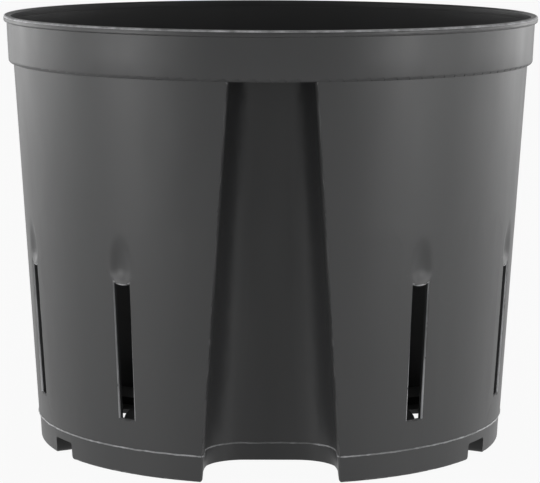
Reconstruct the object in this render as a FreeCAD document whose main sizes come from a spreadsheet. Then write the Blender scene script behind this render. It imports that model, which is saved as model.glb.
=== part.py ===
import FreeCAD, Part
import Sketcher
import math
import os

# A moulded plastic pot for growing plants in clay granules. One shell of even thickness:
# a drafted wall with a band and lip round the rim, a flute up the front for a water gauge,
# tall slots round the wall, and a base that stands on a notched foot.
# The origin is at the centre of the foot, +Z is up, and the flute faces -Y.

doc = FreeCAD.newDocument("plant_pot")

# How far from its reckoned place an edge may lie and still be the one looked for
NEAR = 0.02

# Driving sizes in millimetres and degrees
SIZES = [
    ("wall_thickness", 1.3),
    ("rim_diameter", 150.0),
    ("pot_height", 120.0),
    ("wall_draft", 6.5),
    ("band_height", 13.3),
    ("band_step", 1.4),
    ("band_draft", 0.5),
    ("band_edge_radius", 1.1),
    ("lip_height", 1.8),
    ("lip_width", 1.9),
    ("lip_overhang", 0.8),
    ("lip_edge_radius", 0.5),
    ("lip_ledge_depth", 2.0),
    ("foot_line_height", 7.2),
    ("foot_inset", 0.25),
    ("foot_edge_radius", 0.6),
    ("foot_band_width", 8.8),
    ("base_rise", 2.4),
    ("flute_foot_width", 36.1),
    ("flute_top_width", 22.2),
    ("flute_foot_depth", 18.8),
    ("flute_top_depth", 19.8),
    ("flute_foot_corner", 11.0),
    ("flute_top_corner", 7.0),
    ("flute_edge_radius", 1.0),
    ("slot_count", 9),
    ("slot_first", 35.0),
    ("slot_low_width", 4.7),
    ("slot_high_width", 5.3),
    ("slot_low", 15.2),
    ("slot_high", 52.2),
    ("slot_top_sag", 0.6),
    ("scoop_rise", 1.4),
    ("scoop_depth", 0.8),
    ("scoop_reach_up", 13.0),
    ("scoop_reach_aside", 10.7),
    ("scoop_reach_out", 6.0),
    ("drain_count", 5),
    ("drain_pitch", 60.0),
    ("drain_width", 9.6),
    ("drain_height", 4.6),
    ("drain_length", 27.8),
    ("drain_wall_bite", 0.5),
    ("drain_top_radius", 0.8),
    ("foot_corner_radius", 1.1),
    ("grate_count", 4),
    ("grate_inset", 23.9),
    ("grate_width", 4.6),
    ("grate_gap", 5.4),
]

# Sizes worked out from the driving ones
DERIVED = [
    ("rim_radius", "=rim_diameter / 2"),
    ("band_high_radius", "=rim_radius - lip_overhang"),
    ("band_low_radius", "=band_high_radius - band_draft"),
    ("neck_radius", "=band_low_radius - band_step"),
    ("foot_radius", "=neck_radius - wall_draft"),
    ("neck_height", "=pot_height - band_height"),
    ("lip_low", "=pot_height - lip_height"),
    ("taper", "=(neck_radius - foot_radius) / neck_height"),
    ("line_radius", "=foot_radius + taper * foot_line_height"),
    ("foot_band_radius", "=foot_radius - foot_band_width"),
    ("base_top", "=base_rise + wall_thickness"),
    ("flute_foot_back", "=foot_radius - flute_foot_depth"),
    ("flute_top_back", "=neck_radius - flute_top_depth"),
    ("slot_pitch", "=(360 - 2 * slot_first) / (slot_count - 1)"),
    ("drain_inner_reach", "=foot_radius - drain_length"),
    ("drain_cover_half", "=drain_width / 2 + wall_thickness"),
    ("grate_inner_radius", "=foot_radius - grate_inset"),
    ("grate_half_angle", "=drain_pitch / 2 - asin((drain_cover_half + grate_gap) / grate_inner_radius) / 1deg"),
]


def make_sheet():
    sheet = doc.addObject("Spreadsheet::Sheet", "sizes")
    rows = [(name, str(value)) for name, value in SIZES] + DERIVED
    for row, (name, text) in enumerate(rows, start=1):
        sheet.set("A%d" % row, name)
        sheet.set("B%d" % row, text)
        sheet.setAlias("B%d" % row, name)
    doc.recompute()
    return sheet


sheet = make_sheet()
NAMES = {name for name, value in SIZES} | {name for name, text in DERIVED}


def bind(thing, path, text):
    """Tie a property to an expression in the sheet's names."""
    words = []
    word = ""
    for letter in text + " ":
        if letter.isalnum() or letter == "_":
            word += letter
            continue
        words.append("sizes." + word if word in NAMES else word)
        words.append(letter)
        word = ""
    thing.setExpression(path, "".join(words).strip())


def size(text):
    """The present value of an expression in the sheet's names."""
    value = sheet.evalExpression(text)
    return float(getattr(value, "Value", value))


def cone(height):
    """Outer radius of the wall at a height, as an expression."""
    return "(foot_radius + taper * (%s))" % height


def outside_wall(spot, foot_radius, taper):
    """How far a point lies outside the wall's outer face."""
    return math.hypot(spot.x, spot.y) - foot_radius - taper * spot.z


def datum(body, role):
    return [item for item in body.Origin.OriginFeatures if item.Role == role][0]


def new_sketch(body, name, role):
    sketch = body.newObject("Sketcher::SketchObject", name)
    sketch.AttachmentSupport = (datum(body, role), [""])
    sketch.MapMode = "FlatFace"
    return sketch


def point_at(text_x, text_y):
    return FreeCAD.Vector(size(text_x), size(text_y), 0)


def pin(sketch, edge, end, corner, name, axes="xy"):
    """Hold a point of an edge at the place that two expressions give."""
    spot = point_at(*corner)
    for axis in axes:
        kind = "DistanceX" if axis == "x" else "DistanceY"
        value = spot.x if axis == "x" else spot.y
        label = "%s_%s" % (name, axis)
        row = sketch.addConstraint(Sketcher.Constraint(kind, -1, 1, edge, end, value))
        sketch.renameConstraint(row, label)
        bind(sketch, "Constraints." + label, corner[0] if axis == "x" else corner[1])


def set_radius(sketch, edge, radius, name):
    row = sketch.addConstraint(Sketcher.Constraint("Radius", edge, size(radius)))
    sketch.renameConstraint(row, name)
    bind(sketch, "Constraints." + name, radius)


def add_bend(sketch, start, end, middle, radius):
    """Add the short arc between two points, and say which of its ends is the start."""
    first = math.atan2(start.y - middle.y, start.x - middle.x)
    last = math.atan2(end.y - middle.y, end.x - middle.x)
    leftward = (last - first) % (2 * math.pi) < math.pi
    low, high = (first, last) if leftward else (last, first)
    circle = Part.Circle(middle, FreeCAD.Vector(0, 0, 1), radius)
    sketch.addGeometry(Part.ArcOfCircle(circle, low, high), False)
    return (1, 2) if leftward else (2, 1)


def draw_outline(sketch, corners, bends={}):
    """Draw a closed outline through corners given as pairs of expressions.

    bends maps the number of an edge that is an arc to the arc's centre and radius.
    """
    count = len(corners)
    spots = [point_at(*corner) for corner in corners]
    ends = []
    for number in range(count):
        start, end = spots[number], spots[(number + 1) % count]
        if number in bends:
            middle, radius = bends[number]
            ends.append(add_bend(sketch, start, end, point_at(*middle), size(radius)))
        else:
            sketch.addGeometry(Part.LineSegment(start, end), False)
            ends.append((1, 2))
    for number in range(count):
        after = (number + 1) % count
        joint = Sketcher.Constraint("Coincident", number, ends[number][1], after, ends[after][0])
        sketch.addConstraint(joint)
        axes = "xy"
        for edge in (number, after):
            if edge in bends:
                reach = spots[after] - point_at(*bends[edge][0])
                axes = "x" if abs(reach.y) > abs(reach.x) else "y"
        pin(sketch, after, ends[after][0], corners[after], "corner%d" % after, axes)
    for number, (middle, radius) in bends.items():
        pin(sketch, number, 3, middle, "middle%d" % number)
        set_radius(sketch, number, radius, "bend%d" % number)


def wall_section(body):
    """Half of the section of wall, rim, foot and base, from the axis outwards and back."""
    sketch = new_sketch(body, "wall_section", "XZ_Plane")
    shelf = "(neck_height + wall_thickness)"
    corners = [
        ("0", "base_rise"),
        ("foot_band_radius", "base_rise"),
        ("foot_band_radius", "0"),
        ("foot_radius - foot_inset", "0"),
        ("line_radius - foot_inset", "foot_line_height"),
        ("line_radius", "foot_line_height"),
        ("neck_radius", "neck_height"),
        ("band_low_radius", "neck_height"),
        ("band_high_radius", "lip_low"),
        ("rim_radius", "lip_low"),
        ("rim_radius", "pot_height"),
        ("rim_radius - lip_width", "pot_height"),
        ("rim_radius - lip_width", "pot_height - lip_ledge_depth"),
        ("band_high_radius - wall_thickness", "pot_height - lip_ledge_depth"),
        ("band_low_radius - wall_thickness", shelf),
        ("neck_radius - wall_thickness", shelf),
        (cone("wall_thickness") + " - wall_thickness", "wall_thickness"),
        ("foot_band_radius + wall_thickness", "wall_thickness"),
        ("foot_band_radius + wall_thickness", "base_top"),
        ("0", "base_top"),
    ]
    draw_outline(sketch, corners)
    return sketch


def circles_at(shape, radius, height):
    """Names of the round edges about the axis at a radius and height."""
    names = []
    for number, edge in enumerate(shape.Edges, start=1):
        curve = edge.Curve
        if not isinstance(curve, Part.Circle):
            continue
        centre = curve.Center
        off_axis = math.hypot(centre.x, centre.y)
        if max(off_axis, abs(curve.Radius - radius), abs(centre.z - height)) < NEAR:
            names.append("Edge%d" % number)
    return names


def edges_where(shape, test):
    """Names of the edges whose two ends and middle all pass a test."""
    names = []
    for number, edge in enumerate(shape.Edges, start=1):
        first, last = edge.ParameterRange
        if all(test(edge.valueAt(first + (last - first) * share)) for share in (0.0, 0.5, 1.0)):
            names.append("Edge%d" % number)
    return names


def round_edges(body, name, base, edges, radius):
    fillet = body.newObject("PartDesign::Fillet", name)
    fillet.Base = (base, edges)
    bind(fillet, "Radius", radius)
    body.Tip = fillet
    doc.recompute()
    return fillet


def add_wall(body):
    sketch = wall_section(body)
    wall = body.newObject("PartDesign::Revolution", "wall")
    wall.Profile = sketch
    wall.ReferenceAxis = (sketch, ["V_Axis"])
    wall.Angle = 360
    body.Tip = wall
    doc.recompute()
    return wall


def soften_rim(body, wall):
    """Round the lip and the lower edge of the band."""
    lip_edges = []
    for radius, height in (
        ("rim_radius", "pot_height"),
        ("rim_radius", "lip_low"),
        ("rim_radius - lip_width", "pot_height"),
    ):
        lip_edges += circles_at(wall.Shape, size(radius), size(height))
    lip = round_edges(body, "lip_rounding", wall, lip_edges, "lip_edge_radius")
    band_edges = circles_at(lip.Shape, size("band_low_radius"), size("neck_height"))
    return round_edges(body, "band_rounding", lip, band_edges, "band_edge_radius")


def flute_section(body, name, height, half_width, back, corner, front):
    """A U with rounded back corners, open face to the front, in a level plane."""
    sketch = new_sketch(body, name, "XY_Plane")
    bind(sketch, "AttachmentOffset.Base.z", height)
    middle_x = "((%s) - (%s))" % (half_width, corner)
    middle_y = "-((%s) + (%s))" % (back, corner)
    corners = [
        ("-(%s)" % half_width, "-(%s)" % front),
        (half_width, "-(%s)" % front),
        (half_width, middle_y),
        (middle_x, "-(%s)" % back),
        ("-" + middle_x, "-(%s)" % back),
        ("-(%s)" % half_width, middle_y),
    ]
    bends = {2: ((middle_x, middle_y), corner), 4: (("-" + middle_x, middle_y), corner)}
    draw_outline(sketch, corners, bends)
    return sketch


def loft(body, kind, name, low, *others):
    feature = body.newObject("PartDesign::" + kind, name)
    feature.Profile = low
    feature.Sections = list(others)
    feature.Ruled = True
    body.Tip = feature
    doc.recompute()
    return feature


def buried_front(half_width, height):
    """Distance from the axis to a front face that stays inside the wall's thickness."""
    middle = "(%s - wall_thickness / 2)" % cone(height)
    return "sqrt(%s ^ 2 - (%s) ^ 2)" % (middle, half_width)


def add_flute_casing(body):
    """The block from which the flute's own wall is left when the flute is cut."""
    foot_half = "flute_foot_width / 2 + wall_thickness"
    top_half = "flute_top_width / 2 + wall_thickness"
    low = flute_section(body, "casing_low", "0", foot_half, "flute_foot_back - wall_thickness",
                        "flute_foot_corner + wall_thickness", buried_front(foot_half, "0"))
    high = flute_section(body, "casing_high", "neck_height + wall_thickness", top_half,
                         "flute_top_back - wall_thickness", "flute_top_corner + wall_thickness",
                         buried_front(top_half, "neck_height"))
    return loft(body, "AdditiveLoft", "flute_casing", low, high)


def clear_under_base(body):
    """Keep the middle of the base off the floor where the casing passed through it."""
    sketch = new_sketch(body, "under_base", "XY_Plane")
    sketch.addGeometry(Part.Circle(FreeCAD.Vector(), FreeCAD.Vector(0, 0, 1), size("foot_band_radius")))
    sketch.addConstraint(Sketcher.Constraint("Coincident", 0, 3, -1, 1))
    set_radius(sketch, 0, "foot_band_radius", "reach")
    return cut_up(body, "base_clearance", sketch, "base_rise")


def cut_up(body, name, sketch, depth):
    """A pocket that rises from a level sketch."""
    pocket = body.newObject("PartDesign::Pocket", name)
    pocket.Profile = sketch
    pocket.Type = "Length"
    pocket.Reversed = True
    bind(pocket, "Length", depth)
    body.Tip = pocket
    doc.recompute()
    return pocket


def cut_flute(body):
    low = flute_section(body, "flute_low", "0", "flute_foot_width / 2", "flute_foot_back",
                        "flute_foot_corner", "foot_radius + lip_height")
    high = flute_section(body, "flute_high", "neck_height", "flute_top_width / 2", "flute_top_back",
                         "flute_top_corner", "neck_radius + lip_height")
    return loft(body, "SubtractiveLoft", "flute", low, high)


def repeat(body, name, features, count, pitch):
    """Copy features round the pot's axis at an even pitch."""
    pattern = body.newObject("PartDesign::PolarPattern", name)
    pattern.Originals = features
    pattern.Axis = (datum(body, "Z_Axis"), [""])
    bind(pattern, "Angle", "%s * (%s - 1)" % (pitch, count))
    bind(pattern, "Occurrences", count)
    body.Tip = pattern
    doc.recompute()
    return pattern


def turned_sketch(body, name, role, angle):
    """A sketch turned round the pot's axis by an angle from the front."""
    sketch = new_sketch(body, name, role)
    turn_axis = FreeCAD.Vector(0, 0, 1) if role == "XY_Plane" else FreeCAD.Vector(0, 1, 0)
    sketch.AttachmentOffset = FreeCAD.Placement(FreeCAD.Vector(), FreeCAD.Rotation(turn_axis, size(angle)))
    bind(sketch, "AttachmentOffset.Rotation.Angle", angle)
    return sketch


def add_drain_ridges(body):
    """Raised covers of the radial drains, standing on the base inside."""
    sketch = turned_sketch(body, "ridge_outline", "XY_Plane", "drain_pitch")
    half = "drain_cover_half"
    inner = "-(drain_inner_reach - wall_thickness)"
    outer = "-(foot_radius - foot_inset - drain_wall_bite)"
    draw_outline(sketch, [("-" + half, outer), (half, outer), (half, inner), ("-" + half, inner)])
    ridge = body.newObject("PartDesign::Pad", "drain_ridge")
    ridge.Profile = sketch
    bind(ridge, "Length", "drain_height + wall_thickness")
    body.Tip = ridge
    doc.recompute()
    return repeat(body, "drain_ridges", [ridge], "drain_count", "drain_pitch")


def arch_outline(sketch, half, height, top_radius):
    """An opening that stands on the floor, with flared lower corners and rounded upper ones."""
    flare = "foot_corner_radius"
    foot = "((%s) + %s)" % (half, flare)
    shoulder = "((%s) - %s)" % (half, top_radius)
    rise = "((%s) - %s)" % (height, top_radius)
    corners = [
        ("-" + foot, "0"),
        (foot, "0"),
        (half, flare),
        (half, rise),
        (shoulder, height),
        ("-" + shoulder, height),
        ("-(%s)" % half, rise),
        ("-(%s)" % half, flare),
    ]
    bends = {
        1: ((foot, flare), flare),
        3: ((shoulder, rise), top_radius),
        5: (("-" + shoulder, rise), top_radius),
        7: (("-" + foot, flare), flare),
    }
    draw_outline(sketch, corners, bends)


def cut_outward(body, name, sketch, angle, start, end):
    """A pocket from an upright sketch at an angle from the front, between two distances from the axis."""
    bind(sketch, "AttachmentOffset.Base.x", "(%s) * sin(%s)" % (start, angle))
    bind(sketch, "AttachmentOffset.Base.z", "(%s) * cos(%s)" % (start, angle))
    pocket = body.newObject("PartDesign::Pocket", name)
    pocket.Profile = sketch
    pocket.Type = "Length"
    pocket.Reversed = True
    bind(pocket, "Length", "(%s) - (%s)" % (end, start))
    body.Tip = pocket
    doc.recompute()
    return pocket


def cut_drains(body):
    """Radial drains under the base, open at the foot as notches."""
    sketch = turned_sketch(body, "drain_outline", "XZ_Plane", "drain_pitch")
    arch_outline(sketch, "drain_width / 2", "drain_height", "drain_top_radius")
    drain = cut_outward(body, "drain", sketch, "drain_pitch", "drain_inner_reach", "rim_radius")
    return repeat(body, "drains", [drain], "drain_count", "drain_pitch")


def round_foot(body):
    """Turn the outer edge of the foot round."""
    sketch = new_sketch(body, "foot_edge_outline", "XZ_Plane")
    edge = "foot_edge_radius"
    middle = "(%s - foot_inset - %s)" % (cone(edge), edge)
    corners = [
        (middle, "0"),
        (middle + " + 2 * " + edge, "0"),
        (middle + " + 2 * " + edge, edge),
        (middle + " + " + edge, edge),
    ]
    draw_outline(sketch, corners, {3: ((middle, edge), edge)})
    groove = body.newObject("PartDesign::Groove", "foot_rounding")
    groove.Profile = sketch
    groove.ReferenceAxis = (sketch, ["V_Axis"])
    groove.Angle = 360
    body.Tip = groove
    doc.recompute()
    return groove


def flare_flute(body):
    """Round the corners of the foot where the flute ends it."""
    sketch = new_sketch(body, "flute_flare_outline", "XZ_Plane")
    slope = "(flute_foot_width - flute_top_width) / 2 / neck_height"
    half = "(flute_foot_width / 2 - %s * foot_corner_radius)" % slope
    arch_outline(sketch, half, "base_rise", "foot_corner_radius")
    inside_flute = "foot_band_radius - flute_foot_corner"
    return cut_outward(body, "flute_flare", sketch, "0", inside_flute, "rim_radius")


def cut_grate(body):
    """Curved openings through the base between the drains."""
    start = "(drain_pitch * 1.5)"
    sketch = turned_sketch(body, "grate_outline", "XY_Plane", start)
    outer = "(grate_inner_radius + grate_width)"
    across = "sin(grate_half_angle)"
    along = "cos(grate_half_angle)"
    corners = [
        ("-grate_inner_radius * " + across, "-grate_inner_radius * " + along),
        ("-%s * %s" % (outer, across), "-%s * %s" % (outer, along)),
        ("%s * %s" % (outer, across), "-%s * %s" % (outer, along)),
        ("grate_inner_radius * " + across, "-grate_inner_radius * " + along),
    ]
    axis = ("0", "0")
    draw_outline(sketch, corners, {1: (axis, outer), 3: (axis, "grate_inner_radius")})
    opening = cut_up(body, "grate_opening", sketch, "base_top + wall_thickness")
    return repeat(body, "grate", [opening], "grate_count", "drain_pitch")


def cut_scoop(body):
    """A shallow dish in the wall's outer face, just above a slot."""
    scoop = body.newObject("PartDesign::SubtractiveEllipsoid", "scoop")
    scoop.AttachmentSupport = (datum(body, "XY_Plane"), [""])
    scoop.MapMode = "FlatFace"
    height = "(slot_high + scoop_rise)"
    away = "(%s + scoop_reach_out - scoop_depth)" % cone(height)
    scoop.AttachmentOffset = FreeCAD.Placement(
        FreeCAD.Vector(), FreeCAD.Rotation(FreeCAD.Vector(0, 0, 1), size("slot_first")))
    bind(scoop, "AttachmentOffset.Rotation.Angle", "slot_first")
    bind(scoop, "AttachmentOffset.Base.x", away + " * sin(slot_first)")
    bind(scoop, "AttachmentOffset.Base.y", "-" + away + " * cos(slot_first)")
    bind(scoop, "AttachmentOffset.Base.z", height)
    bind(scoop, "Radius1", "scoop_reach_up")
    bind(scoop, "Radius2", "scoop_reach_aside")
    bind(scoop, "Radius3", "scoop_reach_out")
    body.Tip = scoop
    doc.recompute()
    return scoop


def cut_slots(body):
    """Tall slots that widen upwards to a sagging top edge, and the scoop above each one."""
    scoop = cut_scoop(body)
    sketch = turned_sketch(body, "slot_outline", "XZ_Plane", "slot_first")
    low_half = "(slot_low_width / 2)"
    high_half = "(slot_high_width / 2)"
    sag_radius = "(%s ^ 2 / (2 * slot_top_sag) + slot_top_sag / 2)" % high_half
    corners = [
        ("-" + low_half, "slot_low"),
        (low_half, "slot_low"),
        (high_half, "slot_high"),
        ("-" + high_half, "slot_high"),
    ]
    arc_middle = ("0", "slot_high - slot_top_sag + " + sag_radius)
    draw_outline(sketch, corners, {2: (arc_middle, sag_radius)})
    slot = body.newObject("PartDesign::Pocket", "slot")
    slot.Profile = sketch
    slot.Type = "Length"
    slot.Reversed = True
    bind(slot, "Length", "rim_radius")
    body.Tip = slot
    doc.recompute()
    return repeat(body, "slots", [scoop, slot], "slot_count", "slot_pitch")


def soften_flute(body, base):
    """Round the long edges where the flute meets the outside of the wall."""
    slope = size("(flute_top_width - flute_foot_width) / 2 / neck_height")
    foot_half = size("flute_foot_width / 2")
    line_height = size("foot_line_height")
    wall = (size("foot_radius"), size("taper"))

    def on_flute_mouth(spot):
        if spot.y > 0 or spot.z < line_height - NEAR:
            return False
        at_side = abs(abs(spot.x) - foot_half - slope * spot.z) < NEAR
        return at_side and abs(outside_wall(spot, *wall)) < NEAR

    edges = edges_where(base.Shape, on_flute_mouth)
    return round_edges(body, "flute_rounding", base, edges, "flute_edge_radius")


def check_and_write(body):
    doc.recompute()
    for item in doc.Objects:
        if "Invalid" in item.State or "Error" in item.State:
            raise RuntimeError("%s: %s" % (item.Name, item.State))
    shape = body.Shape
    if shape.isNull() or not shape.isValid() or len(shape.Solids) != 1:
        raise RuntimeError("%s is not one valid solid" % body.Label)
    os.makedirs("parts", exist_ok=True)
    shape.exportStep("parts/%s.step" % body.Label)
    print(body.Label, "volume", round(shape.Volume, 1), "box", shape.optimalBoundingBox())


def make_pot():
    body = doc.addObject("PartDesign::Body", "pot")
    body.Label = "pot"
    soften_rim(body, add_wall(body))
    add_flute_casing(body)
    add_drain_ridges(body)
    clear_under_base(body)
    soften_flute(body, cut_flute(body))
    round_foot(body)
    cut_drains(body)
    flare_flute(body)
    cut_grate(body)
    cut_slots(body)
    return body


check_and_write(make_pot())
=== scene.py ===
import math

import bmesh
import bpy
from mathutils import Matrix, Vector, noise


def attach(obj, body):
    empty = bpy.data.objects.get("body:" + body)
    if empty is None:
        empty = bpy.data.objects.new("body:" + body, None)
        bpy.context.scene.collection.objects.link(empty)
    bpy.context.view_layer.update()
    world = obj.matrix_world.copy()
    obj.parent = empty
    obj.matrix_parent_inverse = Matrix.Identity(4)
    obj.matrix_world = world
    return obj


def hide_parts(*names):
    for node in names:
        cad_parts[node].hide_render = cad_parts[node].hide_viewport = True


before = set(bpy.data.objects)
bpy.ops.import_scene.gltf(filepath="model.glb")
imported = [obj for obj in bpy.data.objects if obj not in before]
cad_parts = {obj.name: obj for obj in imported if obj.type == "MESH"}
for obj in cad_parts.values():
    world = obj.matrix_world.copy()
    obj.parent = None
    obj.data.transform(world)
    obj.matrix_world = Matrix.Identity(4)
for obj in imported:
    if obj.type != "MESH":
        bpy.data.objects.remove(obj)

# A dark grey moulded pot on a pale floor. Metres, origin at the centre of the foot, +Z up, flute at -Y.

MM = 0.001
UP = Vector((0, 0, 1))
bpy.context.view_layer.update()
scene = bpy.context.scene

# The wall, as the solid has it: outer radius at the foot, and how much it grows up to the neck
FOOT_RADIUS = 65.8 * MM
NECK_HEIGHT = 106.7 * MM
NECK_GROWTH = 6.5 * MM
WALL = 1.3 * MM

# How a face of the wall's outer side is told from the others: how far it lies off the cone and how it faces
PROUD_MOST = 0.1 * MM
SUNK_MOST = 0.85 * WALL
FACING_LEAST = 0.8

# The slots, in degrees from the flute: the first, and the pitch that puts the last as far from the flute
SLOT_COUNT = 9
SLOT_FIRST = 35
SLOT_PITCH = (360 - 2 * SLOT_FIRST) / (SLOT_COUNT - 1)
SLOT_ANGLES = [math.radians(SLOT_FIRST + SLOT_PITCH * number) for number in range(SLOT_COUNT)]
SLOT_LOW = 15.2 * MM

# The rounding of the slots' outer edges, and the strip beside a slot's middle in which they lie
SLOT_EDGE = 0.45 * MM
SLOT_EDGE_STEPS = 3
SLOT_STRIP_HALF = 4.0 * MM
SLOT_STRIP_LOW = SLOT_LOW - 0.5 * MM
SHARP_ANGLE = 0.7

# The soft dish above each slot: height of its centre, reach aside, up and down, and depth
DISH_HEIGHT = 56.0 * MM
DISH_ASIDE = 4.2 * MM
DISH_UP = 9.5 * MM
DISH_DOWN = 4.7 * MM
DISH_DEPTH = 0.8 * MM

# The fine grid on the wall round each slot and dish, and the margin that is cut free round it
GRID_ASIDE = 5.6 * MM
GRID_LOW = SLOT_LOW - 2 * MM
GRID_TOP = 66.0 * MM
GRID_MARGIN = 1.0 * MM
GRID_COLUMN = 0.7 * MM
GRID_ROW = 1.0 * MM
SAME_SIDE_LEAST = 40.0 * MM

# The smallest move that a corner of the wall is given, and the zone at the neck that keeps its place
MOVE_LEAST = 0.005 * MM
NECK_MARGIN = 1.0 * MM

# The bead of the foot line: its place and radius, its waver, and the lumps along it as share and frequency
LINE_HEIGHT = 7.2 * MM
LINE_RADIUS = 0.23 * MM
LINE_SUNK = 0.06 * MM
LINE_WAVER = 0.12 * MM
WAVER_FREQUENCY = 260
LINE_LUMPS = ((0.35, 900), (0.2, 2600))
LINE_SIDES = 6
LINE_STEP = 0.6 * MM
LINE_EDGE_STEP = 0.2 * MM

# The flute at the foot line: half its width, its back, and the radii of its inner and outer corners
FLUTE_HALF = 17.58 * MM
FLUTE_BACK = 47.37 * MM
FLUTE_CORNER = 10.73 * MM
FLUTE_EDGE = 1.0 * MM

# The lip's outer edge, which gets a painted highlight, is what lies beyond this radius and height
LIP_EDGE_RADIUS = 74.45 * MM
LIP_EDGE_HEIGHT = 119.5 * MM

# Place of the painted highlight, a pale colour on edges, in the piece's list of materials
PAINTED_HIGHLIGHT = 1

# Distances within which corners count as one, the angle from which an edge is drawn as a crease, and how
# strongly large faces set the shading
WELD = 2e-7
CUT = 1e-7
CREASE_ANGLE = math.radians(32)
LARGE_FACE_WEIGHT = 80

# The span that nearly all of a noise texture's values lie in
NOISE_SPAN = (0.3, 0.7)

# The floor, just under the foot, and how much of it the camera and the pot's gloss see as white
FLOOR_SIZE = 8
FLOOR_DROP = 0.1 * MM
WHITE_TO_CAMERA = 0.94
WHITE_TO_GLOSS = 0.75

# The room's light, as shares of white: overhead against level, and the front against the back
OVERHEAD_SHARE = 0.15
FRONT_SHARE = 0.5
LAMP_TARGET = Vector((0, 0, 0.06))


class Shader:
    """A small helper that places nodes of one material or world and joins them."""

    def __init__(self, owner):
        owner.use_nodes = True
        self.tree = owner.node_tree
        self.tree.nodes.clear()

    def node(self, kind, **values):
        made = self.tree.nodes.new(kind)
        for name, value in values.items():
            made.inputs[name.replace("_", " ")].default_value = value
        return made

    def join(self, source, out, target, into):
        self.tree.links.new(source.outputs[out], target.inputs[into])

    def place(self, factors):
        """Object coordinates stretched by a factor along each axis."""
        coordinates = self.node("ShaderNodeTexCoord")
        mapping = self.node("ShaderNodeMapping", Scale=factors)
        self.join(coordinates, "Object", mapping, "Vector")
        return mapping

    def noise(self, place, scale, detail=2.0, roughness=0.5):
        made = self.node("ShaderNodeTexNoise", Scale=scale, Detail=detail, Roughness=roughness)
        self.join(place, 0, made, "Vector")
        return made

    def stretch(self, source, out, span, to_span):
        """A value mapped from one span to another, and held at its ends."""
        low, high = span
        to_low, to_high = to_span
        made = self.node("ShaderNodeMapRange", From_Min=low, From_Max=high, To_Min=to_low, To_Max=to_high)
        self.join(source, out, made, "Value")
        return made

    def math(self, operation, first, second):
        """Two mapped values added or multiplied."""
        made = self.node("ShaderNodeMath")
        made.operation = operation
        self.join(first, "Result", made, 0)
        self.join(second, "Result", made, 1)
        return made

    def bump(self, height, strength, distance, below=None):
        made = self.node("ShaderNodeBump", Strength=strength, Distance=distance)
        self.join(height, "Fac", made, "Height")
        if below:
            self.join(below, "Normal", made, "Normal")
        return made


def cool_grey(level):
    """A grey with a faint blue cast."""
    return level, level * 1.01, level * 1.03, 1


def plastic(name, dark, pale, cloud_scale):
    """Grey satin plastic with faint flow clouds, handling marks and a fine moulded grain; in pale greys it
    paints highlights on edges.
    """
    material = bpy.data.materials.new(name)
    shader = Shader(material)
    surface = shader.node("ShaderNodeBsdfPrincipled", IOR=1.49)
    output = shader.node("ShaderNodeOutputMaterial")
    shader.join(surface, "BSDF", output, "Surface")
    even = shader.place((1, 1, 1))
    upright = shader.place((1, 1, 0.3))

    clouds = shader.noise(upright, scale=cloud_scale, detail=3, roughness=0.55)
    tint = shader.node("ShaderNodeValToRGB")
    low, high = tint.color_ramp.elements
    low.position, high.position = NOISE_SPAN
    low.color = cool_grey(dark)
    high.color = cool_grey(pale)
    shader.join(clouds, "Fac", tint, "Fac")
    shader.join(tint, "Color", surface, "Base Color")

    marks = shader.noise(upright, scale=70, detail=4, roughness=0.6)
    gloss = shader.stretch(marks, "Fac", NOISE_SPAN, (0.36, 0.45))
    shader.join(gloss, "Result", surface, "Roughness")

    grain = shader.bump(shader.noise(even, scale=900), strength=0.12, distance=0.06 * MM)
    sag = shader.bump(shader.noise(upright, scale=38), strength=0.3, distance=0.25 * MM, below=grain)
    shader.join(sag, "Normal", surface, "Normal")
    return material


def pale_floor():
    """A plain pale surface that the camera sees as nearly white, and that still takes the pot's shadow."""
    material = bpy.data.materials.new("floor_white")
    shader = Shader(material)
    cloth = shader.node("ShaderNodeBsdfDiffuse")
    mottle = shader.noise(shader.place((1, 1, 1)), scale=40)
    tone = shader.stretch(mottle, "Fac", NOISE_SPAN, (0.88, 0.9))
    shader.join(tone, "Result", cloth, "Color")
    glow = shader.node("ShaderNodeEmission", Strength=1.0)
    path = shader.node("ShaderNodeLightPath")
    seen = shader.stretch(path, "Is Camera Ray", (0, 1), (0, WHITE_TO_CAMERA))
    mirrored = shader.stretch(path, "Is Glossy Ray", (0, 1), (0, WHITE_TO_GLOSS))
    share = shader.math("ADD", seen, mirrored)
    mix = shader.node("ShaderNodeMixShader")
    shader.join(share, "Value", mix, 0)
    shader.join(cloth, "BSDF", mix, 1)
    shader.join(glow, "Emission", mix, 2)
    output = shader.node("ShaderNodeOutputMaterial")
    shader.join(mix, "Shader", output, "Surface")
    return material


def wall_radius(height):
    """Outer radius of the wall's cone at a height."""
    return FOOT_RADIUS + NECK_GROWTH / NECK_HEIGHT * height


def faces_out(face):
    """True for a face of the wall's outer side, dishes included."""
    middle = face.calc_center_median()
    if not LINE_HEIGHT < middle.z < NECK_HEIGHT:
        return False
    reach = math.hypot(middle.x, middle.y)
    gap = wall_radius(middle.z) - reach
    outward = (face.normal.x * middle.x + face.normal.y * middle.y) / reach
    return -PROUD_MOST < gap < SUNK_MOST and outward > FACING_LEAST


def in_grid_rows(face):
    """True for a face at the height of the slots and dishes."""
    return GRID_LOW < face.calc_center_median().z < GRID_TOP


def split_faces(mesh, faces, point, normal):
    """Cut faces along a plane, and give back the faces of both sides."""
    edges = dict.fromkeys(edge for face in faces for edge in face.edges)
    corners = dict.fromkeys(corner for face in faces for corner in face.verts)
    geometry = [*corners, *edges, *faces]
    made = bmesh.ops.bisect_plane(mesh, geom=geometry, dist=CUT, plane_co=point, plane_no=normal)
    return [item for item in made["geom"] if isinstance(item, bmesh.types.BMFace)]


def steps(low, high, pitch):
    """Evenly spaced values from low to high, about a pitch apart."""
    count = max(1, round((high - low) / pitch))
    return [low + (high - low) * number / count for number in range(count + 1)]


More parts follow.
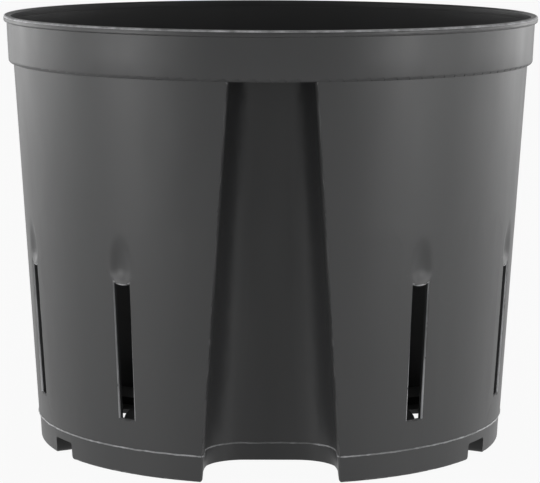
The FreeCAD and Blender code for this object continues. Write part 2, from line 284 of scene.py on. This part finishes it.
def slot_axes(angle):
    """Unit vectors outwards through a slot and along the wall to its right."""
    return Vector((math.sin(angle), -math.cos(angle), 0)), Vector((math.cos(angle), math.sin(angle), 0))


def refine_round_slots(mesh):
    """Give the wall a fine grid round every slot and dish."""
    half = GRID_ASIDE + GRID_MARGIN
    outer = [face for face in mesh.faces if faces_out(face)]
    for height in (GRID_LOW, GRID_TOP):
        outer = split_faces(mesh, outer, UP * height, UP)
    for angle in SLOT_ANGLES:
        ahead, aside = slot_axes(angle)
        near = [face for face in mesh.faces if faces_out(face) and in_grid_rows(face)]
        near = [face for face in near if face.calc_center_median().dot(ahead) > SAME_SIDE_LEAST]
        for offset in (-half, half):
            near = split_faces(mesh, near, aside * offset, aside)
        near = [face for face in near if abs(face.calc_center_median().dot(aside)) < half]
        for offset in steps(-GRID_ASIDE, GRID_ASIDE, GRID_COLUMN):
            near = split_faces(mesh, near, aside * offset, aside)
        for height in steps(GRID_LOW, GRID_TOP, GRID_ROW):
            near = split_faces(mesh, near, UP * height, UP)


def dish_depth(corner):
    """How far the wall's outer side lies inside its cone at a point."""
    depth = 0.0
    for angle in SLOT_ANGLES:
        ahead, aside = slot_axes(angle)
        if corner.dot(ahead) < 0:
            continue
        across = corner.dot(aside) / DISH_ASIDE
        rise = corner.z - DISH_HEIGHT
        along = rise / (DISH_UP if rise > 0 else DISH_DOWN)
        depth = max(depth, DISH_DEPTH * max(0.0, 1 - across ** 2 - along ** 2) ** 2)
    return depth


def shape_dishes(mesh):
    """Press the dishes into the wall's outer side, and bring the rest of it onto its cone."""
    corners = {corner for face in mesh.faces if faces_out(face) for corner in face.verts}
    for corner in corners:
        reach = math.hypot(corner.co.x, corner.co.y)
        target = wall_radius(corner.co.z) - dish_depth(corner.co)
        if abs(target - reach) > MOVE_LEAST and abs(corner.co.z - NECK_HEIGHT) > NECK_MARGIN:
            corner.co.x *= target / reach
            corner.co.y *= target / reach
    mesh.normal_update()


def beside_slot(point):
    """True for a point in the strip of wall that holds a slot and its edges."""
    if not SLOT_STRIP_LOW < point.z < DISH_HEIGHT:
        return False
    return any(
        point.dot(ahead) > 0 and abs(point.dot(aside)) < SLOT_STRIP_HALF
        for ahead, aside in map(slot_axes, SLOT_ANGLES)
    )


def bounds_slot(edge):
    """True for a sharp edge between a slot and the wall's outer side."""
    if len(edge.link_faces) != 2 or edge.calc_face_angle(0) < SHARP_ANGLE:
        return False
    middle = (edge.verts[0].co + edge.verts[1].co) / 2
    return beside_slot(middle) and sum(faces_out(face) for face in edge.link_faces) == 1


def soften_slot_edges(mesh):
    """Round the outer edges of the slots, and paint a highlight on the rounding in a pale colour."""
    picked = [edge for edge in mesh.edges if bounds_slot(edge)]
    made = bmesh.ops.bevel(mesh, geom=picked, offset=SLOT_EDGE, segments=SLOT_EDGE_STEPS, profile=0.5,
                           affect="EDGES", clamp_overlap=False, loop_slide=True)
    for face in made["faces"]:
        face.material_index = PAINTED_HIGHLIGHT


def arc_points(middle, radius, start, end, pitch):
    """Points of a level arc, each with its direction from the arc's centre."""
    count = max(2, round(abs(end - start) * radius / pitch))
    rows = []
    for number in range(count + 1):
        angle = start + (end - start) * number / count
        out = Vector((math.cos(angle), math.sin(angle), 0))
        rows.append((middle + out * radius, out))
    return rows


def line_path():
    """The foot line's points, round the wall and then through the flute, each with its outward direction."""
    radius = wall_radius(LINE_HEIGHT)
    edge_x = FLUTE_HALF + FLUTE_EDGE
    edge_y = -math.sqrt((radius - FLUTE_EDGE) ** 2 - edge_x ** 2)
    turn = math.atan2(edge_y, edge_x)
    quarter = math.pi / 2
    right_edge = Vector((edge_x, edge_y, 0))
    left_edge = Vector((-edge_x, edge_y, 0))
    right = Vector((FLUTE_HALF - FLUTE_CORNER, -(FLUTE_BACK + FLUTE_CORNER), 0))
    left = Vector((-right.x, right.y, 0))
    to_back = steps(edge_y, right.y, LINE_STEP)[1:-1]
    across = steps(left.x, right.x, LINE_STEP)[1:-1]

    rows = arc_points(Vector(), radius, turn, math.pi - turn, LINE_STEP)
    rows += arc_points(left_edge, FLUTE_EDGE, math.pi - turn, math.tau, LINE_EDGE_STEP)
    rows += [(Vector((-FLUTE_HALF, y, 0)), Vector((1, 0, 0))) for y in to_back]
    rows += [(point, -out) for point, out in arc_points(left, FLUTE_CORNER, math.pi, quarter, LINE_STEP)]
    rows += [(Vector((x, -FLUTE_BACK, 0)), Vector((0, -1, 0))) for x in across]
    rows += [(point, -out) for point, out in arc_points(right, FLUTE_CORNER, quarter, 0, LINE_STEP)]
    # The bead runs straight from the right inner corner to the right edge
    rows += arc_points(right_edge, FLUTE_EDGE, -math.pi, turn, LINE_EDGE_STEP)
    return rows


def add_foot_line(mesh):
    """A thin uneven bead left by the mould's parting line, with a painted highlight in a pale colour."""
    rings = []
    for spot, out in line_path():
        height = LINE_HEIGHT + LINE_WAVER * noise.noise(spot * WAVER_FREQUENCY)
        centre = spot + UP * height - out * LINE_SUNK
        lumps = sum(share * noise.noise(spot * frequency) for share, frequency in LINE_LUMPS)
        reach = LINE_RADIUS * (1 + lumps)
        ring = []
        for number in range(LINE_SIDES):
            angle = math.tau * number / LINE_SIDES
            ring.append(mesh.verts.new(centre + (out * math.cos(angle) + UP * math.sin(angle)) * reach))
        rings.append(ring)
    for ring, after in zip(rings, rings[1:] + rings[:1]):
        for number in range(LINE_SIDES):
            follow = (number + 1) % LINE_SIDES
            face = mesh.faces.new((ring[number], ring[follow], after[follow], after[number]))
            face.material_index = PAINTED_HIGHLIGHT


def paint_lip_highlight(mesh):
    """Paint a highlight on the lip's outer edge in a pale colour."""
    for face in mesh.faces:
        middle = face.calc_center_median()
        if middle.z > LIP_EDGE_HEIGHT and math.hypot(middle.x, middle.y) > LIP_EDGE_RADIUS:
            face.material_index = PAINTED_HIGHLIGHT


def dress_pot(body, edge):
    """The pot's own surface with soft dishes, rounded slots and the foot line."""
    piece = bpy.data.objects.new("pot_moulding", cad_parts["pot"].data.copy())
    scene.collection.objects.link(piece)
    mesh = bmesh.new()
    mesh.from_mesh(piece.data)
    bmesh.ops.remove_doubles(mesh, verts=mesh.verts, dist=WELD)
    bmesh.ops.dissolve_degenerate(mesh, edges=mesh.edges, dist=WELD)
    mesh.normal_update()
    refine_round_slots(mesh)
    shape_dishes(mesh)
    soften_slot_edges(mesh)
    add_foot_line(mesh)
    paint_lip_highlight(mesh)
    bmesh.ops.triangulate(mesh, faces=[face for face in mesh.faces if len(face.verts) > 4])
    for face in mesh.faces:
        face.smooth = True
    for line in mesh.edges:
        line.smooth = len(line.link_faces) != 2 or line.calc_face_angle(0) < CREASE_ANGLE
    piece.data.materials.clear()
    mesh.to_mesh(piece.data)
    mesh.free()
    piece.data.materials.append(body)
    piece.data.materials.append(edge)
    even = piece.modifiers.new("even_normals", "WEIGHTED_NORMAL")
    even.keep_sharp = True
    even.weight = LARGE_FACE_WEIGHT
    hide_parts("pot")
    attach(piece, "root")


def add_floor():
    bpy.ops.mesh.primitive_plane_add(size=FLOOR_SIZE, location=(0, 0, -FLOOR_DROP))
    floor = bpy.context.object
    floor.name = "floor"
    floor.data.materials.append(pale_floor())


def add_lamp(name, place, width, height, watts):
    """A rectangular lamp that faces the middle of the pot."""
    light = bpy.data.lights.new(name, "AREA")
    light.shape = "RECTANGLE"
    light.size = width
    light.size_y = height
    light.energy = watts
    lamp = bpy.data.objects.new(name, light)
    scene.collection.objects.link(lamp)
    lamp.location = place
    lamp.rotation_euler = (LAMP_TARGET - Vector(place)).to_track_quat("-Z", "Y").to_euler()


def light_room():
    """A white room that is dimmer overhead and towards the front, and two panels at each side."""
    world = bpy.data.worlds.new("soft_room")
    scene.world = world
    shader = Shader(world)
    coordinates = shader.node("ShaderNodeTexCoord")
    parts = shader.node("ShaderNodeSeparateXYZ")
    shader.join(coordinates, "Generated", parts, "Vector")
    by_height = shader.stretch(parts, "Z", (0.0, 0.45), (1.0, OVERHEAD_SHARE))
    by_depth = shader.stretch(parts, "Y", (-1.0, 0.4), (FRONT_SHARE, 1.0))
    product = shader.math("MULTIPLY", by_height, by_depth)
    seen = shader.node("ShaderNodeBackground", Strength=1.0)
    given = shader.node("ShaderNodeBackground")
    for background in (seen, given):
        background.inputs["Color"].default_value = (1, 1, 1, 1)
    shader.join(product, "Value", given, "Strength")
    path = shader.node("ShaderNodeLightPath")
    choice = shader.node("ShaderNodeMixShader")
    output = shader.node("ShaderNodeOutputWorld")
    shader.join(path, "Is Camera Ray", choice, 0)
    shader.join(given, "Background", choice, 1)
    shader.join(seen, "Background", choice, 2)
    shader.join(choice, "Shader", output, "Surface")
    for name, side in (("left", -1), ("right", 1)):
        add_lamp(name + "_panel", (side * 0.75, 0.35, 0.08), width=0.9, height=0.16, watts=1.3)
        add_lamp(name + "_front_panel", (side * 1.04, -0.6, 0.07), width=0.6, height=0.14, watts=3.3)


def add_camera():
    """The photo's view: a long lens a little above the rim, looking down by about eight degrees."""
    distance = 0.6996
    height = 0.1597
    turn = math.radians(-0.35)
    pitch = math.radians(8.51)
    roll = 0.0032
    ahead = Vector((-math.sin(turn), math.cos(turn), 0))
    right = Vector((math.cos(turn), math.sin(turn), 0))
    look = ahead * math.cos(pitch) - UP * math.sin(pitch)
    side = right * math.cos(roll) + right.cross(look) * math.sin(roll)
    top = side.cross(look)
    camera = bpy.data.cameras.new("photo_view")
    camera.sensor_fit = "HORIZONTAL"
    camera.sensor_width = 36
    camera.lens = 164.9
    camera.clip_end = 20
    holder = bpy.data.objects.new("photo_view", camera)
    scene.collection.objects.link(holder)
    turned = Matrix((side, top, -look)).transposed()
    holder.matrix_world = Matrix.Translation(UP * height - ahead * distance) @ turned.to_4x4()
    scene.camera = holder


scene.view_settings.view_transform = "Standard"
body_plastic = plastic("moulded_plastic", dark=0.054, pale=0.064, cloud_scale=24)
# A pale colour of patchy strength, painted as the highlights on the slot edges, the foot line and the lip's
# edge
edge_highlight_paint = plastic("painted_edge_highlight", dark=0.28, pale=0.75, cloud_scale=260)
dress_pot(body_plastic, edge_highlight_paint)
add_floor()
light_room()
add_camera()
